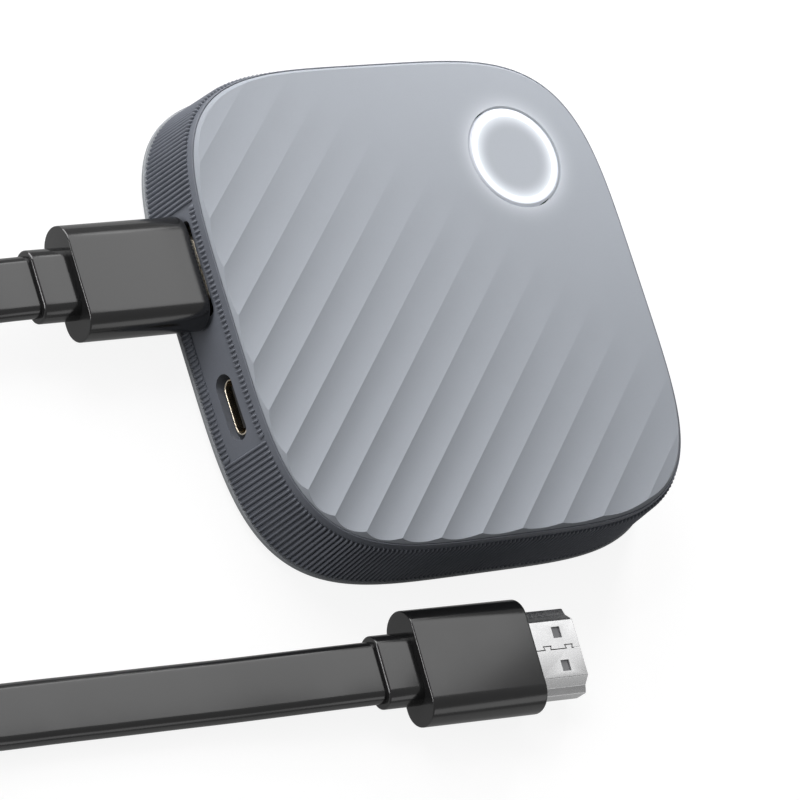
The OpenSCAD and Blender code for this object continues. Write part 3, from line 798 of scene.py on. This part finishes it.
def flute_depth(sizes, u, v):
    """Depth of the face below the crests at u along the flutes and v across them."""
    share = (v - sizes.shift) / sizes.pitch
    share -= math.floor(share)
    corner = reach(sizes.half, math.pi / 4, SQUARENESS)
    run_out = max(0.0, min(1.0, (sizes.end - u) / (sizes.end + corner)))
    return sizes.deep * run_out * 4 * share * (1 - share)


def edge_along(half, v, squareness):
    """Where the line at v across the flutes leaves the outline, as a distance along them."""
    near, far = 0.0, 2 * half
    for _ in range(EDGE_HALVINGS):
        mid = (near + far) / 2
        x, y = (mid + v) * math.sqrt(0.5), (mid - v) * math.sqrt(0.5)
        inside = abs(x / half) ** squareness + abs(y / half) ** squareness < 1
        near, far = (mid, far) if inside else (near, mid)
    return near


def edge_half(sizes, share):
    """Half width of the sloping edge at a share of its height over the joint."""
    return sizes.half - sizes.bevel * share ** 1.15


def low_ledge():
    return high("side_frame").z - LEDGE_DROP


def flute_columns(sizes, limit):
    """Places across the flutes, from one far corner to the other."""
    first = -math.ceil((limit + sizes.shift) / sizes.pitch) - 1
    places = [sizes.shift + (k + s) * sizes.pitch
              for k in range(first, -first + 1) for s in FLUTE_SHARES]
    places = [v for v in places if abs(v) < limit - CORNER_WIDTH]
    for near in CORNER_PLACES:
        places += [limit - near * MM, near * MM - limit]
    return sorted(places)


class ADAPTER_OT_cover(bpy.types.Operator):
    """Fluted top cover with its sloping edge and button hole"""

    bl_idname = "adapter.cover"
    bl_label = "Cover"

    def execute(self, context):
        sizes, squareness = context.scene.adapter_cover, context.scene.adapter_body.power
        face, joint = high("top_cover").z, high("side_frame").z
        rise = face - joint
        limit = reach(sizes.half - sizes.bevel, math.pi / 4, squareness)
        grid = []
        for v in flute_columns(sizes, limit):
            ends = []
            for sign in (-1, 1):
                half = sizes.half - sizes.bevel
                for _ in range(EDGE_ROUNDS + 1):
                    u = sign * edge_along(half, v, squareness)
                    half = edge_half(sizes, 1 - flute_depth(sizes, u, v) / rise)
                ends.append(u)
            column = []
            for i in range(FACE_STEPS + 1):
                u = ends[0] + (ends[1] - ends[0]) * i / FACE_STEPS
                x, y = (u + v) * math.sqrt(0.5), (u - v) * math.sqrt(0.5)
                column.append(Vector((x, y, face - flute_depth(sizes, u, v))))
            grid.append(column)
        count, n = len(grid), FACE_STEPS + 1
        verts = [p for column in grid for p in column]
        faces = [(c * n + r, c * n + r + 1, (c + 1) * n + r + 1, (c + 1) * n + r)
                 for c in range(count - 1) for r in range(n - 1)]
        above = [c * n for c in range(count)] + [(count - 1) * n + r for r in range(1, n)]
        above += [c * n + n - 1 for c in range(count - 2, -1, -1)] + list(range(n - 2, 0, -1))
        rim = [verts[k].copy() for k in above]
        for k in range(1, EDGE_STEPS + 2):
            ring = list(range(len(verts), len(verts) + len(rim)))
            for p in rim:
                share = (p.z - joint) / rise * max(0.0, 1 - k / EDGE_STEPS)
                height = joint + rise * share if k <= EDGE_STEPS else low_ledge()
                verts.append(outline_point(
                    edge_half(sizes, share), math.atan2(p.y, p.x), height, squareness))
            faces += [(above[i - 1], above[i], ring[i], ring[i - 1]) for i in range(len(rim))]
            above = ring
        faces.append(tuple(above))
        cover = bare_object("fluted_cover", verts, faces)
        button = context.scene.adapter_button
        hole = button.radius + button.gap
        rings = [[button_centre() + Vector((hole * c, hole * s, z)) for c, s in circle(160)]
                 for z in (low_ledge() - MM, face + MM)]
        cut_away(cover, bare_object("hole_cutter", *loft(rings)))
        finish_piece(context, cover, "cover_plastic", HOUSING, 9, "top_cover")
        return {"FINISHED"}


class ADAPTER_OT_button(bpy.types.Operator):
    """Button cap and its lit ring"""

    bl_idname = "adapter.button"
    bl_label = "Button"

    def execute(self, context):
        sizes = context.scene.adapter_button
        face = high("button_cap").z
        outer, inner = sizes.radius, sizes.radius - sizes.ring
        foot = low("button_light_ring").z + RING_FOOT
        ring = [(inner + CAP_CLEAR, foot), (outer, foot)]
        ring += [(outer - sizes.edge * (1 - c), face - sizes.edge * (1 - s))
                 for c, s in quarter(8)]
        ring.append((inner + CAP_CLEAR, face))
        made = bare_object("lit_ring", *turned(ring, button_centre()))
        finish_piece(context, made, "light_ring", BUTTON, 30, "button_light_ring")
        profile = [(0.0, face - CAP_THICK), (inner, face - CAP_THICK)]
        profile += [(inner * k / 12, face - CAP_DISH * (1 - (k / 12) ** 2))
                    for k in range(12, -1, -1)]
        made = bare_object("cap", *turned(profile, button_centre()))
        finish_piece(context, made, "cover_plastic", BUTTON, 30, "button_cap",
                     finish="button_plastic")
        return {"FINISHED"}


# side frame

# Power socket's opening, and how far the display socket's stands clear of the plug
POWER_OPENING = (10.6 * MM, 3.9 * MM)
MOUTH_GROW = 0.75 * MM
# Width of the frame's ledge under the cover, and of the small bevel beside the cover
LEDGE_WIDTH, SEAT_BEVEL = 1.3 * MM, 0.04 * MM
# How far the wall's ribs run up into the rim
RIB_RUN_UP = 0.12 * MM
# Where cutters end along X, outside the port wall and inside it
PAST_WALL, IN_WALL = -0.05, -0.036


def across_x(outline, x0, x1):
    """A cutter along X with that outline in Y and Z."""
    return bare_object(
        "cutter", *loft([[Vector((x, y, z)) for y, z in outline] for x in (x0, x1)]))


def rounded_opening(y, z, half_width, half_height, radius, steps=4):
    """Outline in Y and Z of a rounded oblong about that point."""
    corners = [(-half_width, -half_height), (half_width, -half_height),
               (half_width, half_height), (-half_width, half_height)]
    return [(p.x + y, p.y + z) for p in eased(corners, radius, steps)]


def panel_face():
    """Place along X of the sunk panel: the seated grip stops just short of it."""
    return high("plug_grip").x + 0.1 * MM


class ADAPTER_OT_frame(bpy.types.Operator):
    """Side frame's smooth wall with its rim, sunk panel and socket openings"""

    bl_idname = "adapter.frame"
    bl_label = "Side frame"

    def execute(self, context):
        body, cover = context.scene.adapter_body, context.scene.adapter_cover
        foot, joint = low("side_frame").z, high("side_frame").z
        groove = body.half - body.rib_depth
        seat = cover.half + body.seat_gap
        flat = seat + body.rim_flat
        profile = [(groove, foot), (groove - body.flare, joint - body.rim)]
        profile += [(flat + body.rim_round * c, joint - body.rim_round * (1 - s))
                    for c, s in quarter(6)]
        profile += [(seat + SEAT_BEVEL, joint), (seat, joint - SEAT_BEVEL), (seat, low_ledge()),
                    (seat - LEDGE_WIDTH, low_ledge()), (seat - LEDGE_WIDTH, foot)]
        wall = bare_object("frame_wall", *loft(
            [plan_ring(half, z, body.power, 512) for half, z in profile], closed=True))
        power_at = middle("usb_socket_shell")
        panel = rounded_opening(0, power_at.z, body.panel_length / 2, body.panel_height / 2,
                                body.panel_radius, 10)
        slot = [(y + power_at.y, z + power_at.z) for y, z in oval_ring(*POWER_OPENING, 20)]
        mouth = rounded_opening(middle("plug_shell").y, power_at.z, PLUG_HALF[0] + MOUTH_GROW,
                                PLUG_HALF[1] + MOUTH_GROW, MM)
        cut_away(wall, across_x(panel, panel_face(), PAST_WALL),
                 across_x(slot, PAST_WALL, IN_WALL), across_x(mouth, PAST_WALL, IN_WALL))
        finish_piece(context, wall, "frame_plastic", HOUSING, 35, "side_frame")
        return {"FINISHED"}


class ADAPTER_OT_power_socket(bpy.types.Operator):
    """Power socket's metal shell, with a rounded mouth"""

    bl_idname = "adapter.power_socket"
    bl_label = "Power socket"

    def execute(self, context):
        node = "usb_socket_shell"
        front, back, at, size = low(node).x, high(node).x, middle(node), high(node) - low(node)
        levels = [(back, 0.0)]
        levels += [(front + SHEET / 2 * (1 - s), SHEET / 2 * (1 - c))
                   for c, s in arc(0, math.pi, 8)]
        levels.append((back, SHEET))
        rings = [[Vector((x, at.y + y, at.z + z))
                  for y, z in oval_ring(size.y - 2 * inset, size.z - 2 * inset, 20)]
                 for x, inset in levels]
        shell = bare_object("power_socket_shell", *loft(rings, closed=True))
        finish_piece(context, shell, "socket_steel", HOUSING, 50, node)
        return {"FINISHED"}


# Named inputs of the rib tree
RIB_INPUTS = {
    "Half width": "Float", "Power": "Float", "Count": "Int", "Foot": "Float", "Top": "Float",
    "Lean": "Float", "Depth": "Float", "Width": "Float", "Tooth": "Float",
    "Panel half": "Float", "Inside": "Bool", "Finish": "Material",
}


def rib_tree():
    """Geometry nodes: upright ribs set evenly round the outline, beside the panel or at it."""
    found = bpy.data.node_groups.get("rib_row")
    if found:
        return found
    tree = bpy.data.node_groups.new("rib_row", "GeometryNodeTree")
    for name, kind in RIB_INPUTS.items():
        tree.interface.new_socket(name=name, in_out="INPUT", socket_type=f"NodeSocket{kind}")
    tree.interface.new_socket(
        name="Geometry", in_out="OUTPUT", socket_type="NodeSocketGeometry")
    nodes, links = tree.nodes, tree.links
    given = nodes.new("NodeGroupInput").outputs

    def add(kind, inputs=(), **settings):
        node = nodes.new(kind)
        for key, value in settings.items():
            setattr(node, key, value)
        for key, value in dict(inputs).items():
            if isinstance(value, bpy.types.NodeSocket):
                links.new(value, node.inputs[key])
            else:
                node.inputs[key].default_value = value
        return node.outputs

    def calc(operation, a, b=0.0):
        return add("ShaderNodeMath", {0: a, 1: b}, operation=operation)[0]

    def position():
        at = add("GeometryNodeInputPosition")[0]
        return at, add("ShaderNodeSeparateXYZ", {0: at})

    def less(a, b):
        return add("FunctionNodeCompare", {0: a, 1: b}, operation="LESS_THAN")[0]

    def both(a, b, operation):
        return add("FunctionNodeBooleanMath", {0: a, 1: b}, operation=operation)[0]

    # the outline: a circle drawn out to the rounded square, with a spot for each rib
    round_line = add("GeometryNodeCurvePrimitiveCircle", {"Resolution": 1440, "Radius": 1.0})[0]
    at, spot = position()
    total = calc("ADD", calc("POWER", calc("ABSOLUTE", spot["X"]), given["Power"]),
                 calc("POWER", calc("ABSOLUTE", spot["Y"]), given["Power"]))
    root = calc("POWER", total, calc("DIVIDE", 1.0, given["Power"]))
    size = calc("DIVIDE", given["Half width"], root)
    moved = add("ShaderNodeVectorMath", {0: at, "Scale": size}, operation="SCALE")[0]
    outline = add("GeometryNodeSetPosition", {"Geometry": round_line, "Position": moved})[0]
    spots = add("GeometryNodeResampleCurve", {"Curve": outline, "Count": given["Count"]})[0]

    # ribs at the panel are left out of the wall's row, or are the only ones kept
    where = position()[1]
    at_panel = both(less(where["X"], 0.0),
                    less(calc("ABSOLUTE", where["Y"]), given["Panel half"]), "AND")
    kept = add("GeometryNodeDeleteGeometry",
               {"Geometry": spots, "Selection": both(at_panel, given["Inside"], "XOR")},
               domain="POINT")[0]

    # one rib: a leaning oval rod whose upper end narrows to a tooth
    rod = add("GeometryNodeMeshCylinder",
              {"Vertices": 10, "Side Segments": 2, "Radius": 1.0, "Depth": 2.0})[0]
    form = position()[1]
    tall = calc("SUBTRACT", given["Top"], given["Foot"])
    shaft = calc("MULTIPLY", calc("MINIMUM", calc("ADD", form["Z"], 1.0), 1.0),
                 calc("SUBTRACT", tall, given["Tooth"]))
    above = calc("MAXIMUM", form["Z"], 0.0)
    rise = calc("ADD", shaft, calc("MULTIPLY", above, given["Tooth"]))
    narrow = calc("SUBTRACT", 1.0, calc("MULTIPLY", above, 0.5))
    lean = calc("MULTIPLY", calc("DIVIDE", rise, tall), given["Lean"])
    out = calc("MULTIPLY", calc("MULTIPLY", form["X"], narrow), given["Depth"])
    joined = add("ShaderNodeCombineXYZ", {
        0: calc("SUBTRACT", out, lean),
        1: calc("MULTIPLY", calc("MULTIPLY", form["Y"], narrow), given["Width"]),
        2: calc("ADD", given["Foot"], rise)})[0]
    rib = add("GeometryNodeSetPosition", {"Geometry": rod, "Position": joined})[0]

    turn = add("FunctionNodeAlignRotationToVector",
               {"Vector": add("GeometryNodeInputTangent")[0]}, axis="Y", pivot_axis="Z")[0]
    rows = add("GeometryNodeInstanceOnPoints",
               {"Points": kept, "Instance": rib, "Rotation": turn})[0]
    solid = add("GeometryNodeRealizeInstances", {"Geometry": rows})[0]
    painted = add("GeometryNodeSetMaterial", {"Geometry": solid, "Material": given["Finish"]})[0]
    links.new(painted, nodes.new("NodeGroupOutput").inputs["Geometry"])
    return tree


def rib_row(context, name, foot, top, inside):
    body = context.scene.adapter_body
    tree = rib_tree()
    made = bpy.data.objects.new(name, bpy.data.meshes.new(name))
    context.scene.collection.objects.link(made)
    step = made.modifiers.new("ribs", "NODES")
    step.node_group = tree
    frame_foot, rim_foot = low("side_frame").z, high("side_frame").z - body.rim
    slope = body.flare / (rim_foot - frame_foot)
    values = {
        "Half width": body.half - body.rib_depth - slope * (foot - frame_foot),
        "Power": body.power, "Count": body.rib_count, "Foot": foot, "Top": top,
        "Lean": slope * (top - foot), "Depth": body.rib_depth, "Width": body.rib_width,
        "Tooth": body.rib_ease, "Panel half": body.panel_length / 2, "Inside": inside,
        "Finish": shared_material(context, "frame_plastic"),
    }
    for item in tree.interface.items_tree:
        if item.in_out == "INPUT":
            step[item.identifier] = values[item.name]
    baked(made)
    finish_piece(context, made, "frame_plastic", HOUSING, 50, "side_frame")


class ADAPTER_OT_ribs(bpy.types.Operator):
    """Upright ribs round the side frame, shorter over and under the sunk panel"""

    bl_idname = "adapter.ribs"
    bl_label = "Ribs"

    def execute(self, context):
        body = context.scene.adapter_body
        foot, top = low("side_frame").z, high("side_frame").z - body.rim + RIB_RUN_UP
        port_z, half_height = middle("usb_socket_shell").z, body.panel_height / 2
        rib_row(context, "wall_ribs", foot, top, False)
        rib_row(context, "ribs_over_panel", port_z + half_height, top, True)
        rib_row(context, "ribs_under_panel", foot, port_z - half_height, True)
        return {"FINISHED"}


# base and inner pieces

# Rounding under the bottom cover: its width and height, and the flat's distance from the edge
BASE_ROUND, BASE_RISE, BASE_FLAT = 1.3 * MM, 0.9 * MM, 3 * MM
# Bevel of the lip's upper edge
LIP_DROP, LIP_BEVEL = 0.15 * MM, 0.08 * MM


class ADAPTER_OT_base(bpy.types.Operator):
    """Bottom cover with its rounded lip"""

    bl_idname = "adapter.base"
    bl_label = "Bottom cover"

    def execute(self, context):
        body = context.scene.adapter_body
        edge, under, top = body.half + body.lip, low("bottom_cover").z, low("side_frame").z
        profile = [(edge - BASE_FLAT, under)]
        profile += [(edge - BASE_ROUND * (1 - s), under + BASE_RISE * (1 - c))
                    for c, s in quarter(8)]
        profile += [(edge, top - LIP_DROP), (edge - LIP_BEVEL, top)]
        made = bare_object("bottom_shell", *loft(
            [plan_ring(half, z, body.power, 384) for half, z in profile]))
        finish_piece(context, made, "base_plastic", HOUSING, 30, "bottom_cover")
        return {"FINISHED"}


class ADAPTER_OT_inner(bpy.types.Operator):
    """Finishes for the feet, screws, sockets, board and the pieces on it"""

    bl_idname = "adapter.inner"
    bl_label = "Other pieces"

    def execute(self, context):
        slots = {row["node"]: row["material_slot"] for row in frame["record"]["subparts"]}
        for node, made in frame["nodes"].items():
            if made.hide_render:
                continue
            finish = shared_material(context, slots[node])
            for place in made.material_slots:
                place.material = finish
            if not made.material_slots:
                made.data.materials.append(finish)
        return {"FINISHED"}


# panel and running

STEPS = (
    ADAPTER_OT_stage, ADAPTER_OT_plugs, ADAPTER_OT_cable, ADAPTER_OT_cover, ADAPTER_OT_button,
    ADAPTER_OT_frame, ADAPTER_OT_power_socket, ADAPTER_OT_ribs, ADAPTER_OT_base,
    ADAPTER_OT_inner,
)
GROUPS = {
    "adapter_body": AdapterBody, "adapter_cover": AdapterCover, "adapter_button": AdapterButton,
    "adapter_lead": AdapterLead, "adapter_colours": AdapterColours,
    "adapter_stage": AdapterStage,
}


class VIEW3D_PT_adapter(bpy.types.Panel):
    """Lists the adapter's steps"""

    bl_label = "Display adapter"
    bl_idname = "VIEW3D_PT_adapter"
    bl_space_type = "VIEW_3D"
    bl_region_type = "UI"
    bl_category = "Adapter"

    def draw(self, context):
        for step in STEPS:
            self.layout.operator(step.bl_idname)


def register():
    for group in GROUPS.values():
        bpy.utils.register_class(group)
    for name, group in GROUPS.items():
        setattr(bpy.types.Scene, name, PointerProperty(type=group))
    for step in STEPS:
        bpy.utils.register_class(step)
    bpy.utils.register_class(VIEW3D_PT_adapter)


def unregister():
    bpy.utils.unregister_class(VIEW3D_PT_adapter)
    for step in reversed(STEPS):
        bpy.utils.unregister_class(step)
    for name in GROUPS:
        delattr(bpy.types.Scene, name)
    for group in reversed(list(GROUPS.values())):
        bpy.utils.unregister_class(group)


def main():
    register()
    for step in STEPS:
        area, name = step.bl_idname.split(".")
        if getattr(getattr(bpy.ops, area), name)() != {"FINISHED"}:
            raise RuntimeError(f"{step.bl_label} did not finish")


if __name__ == "__main__":
    main()
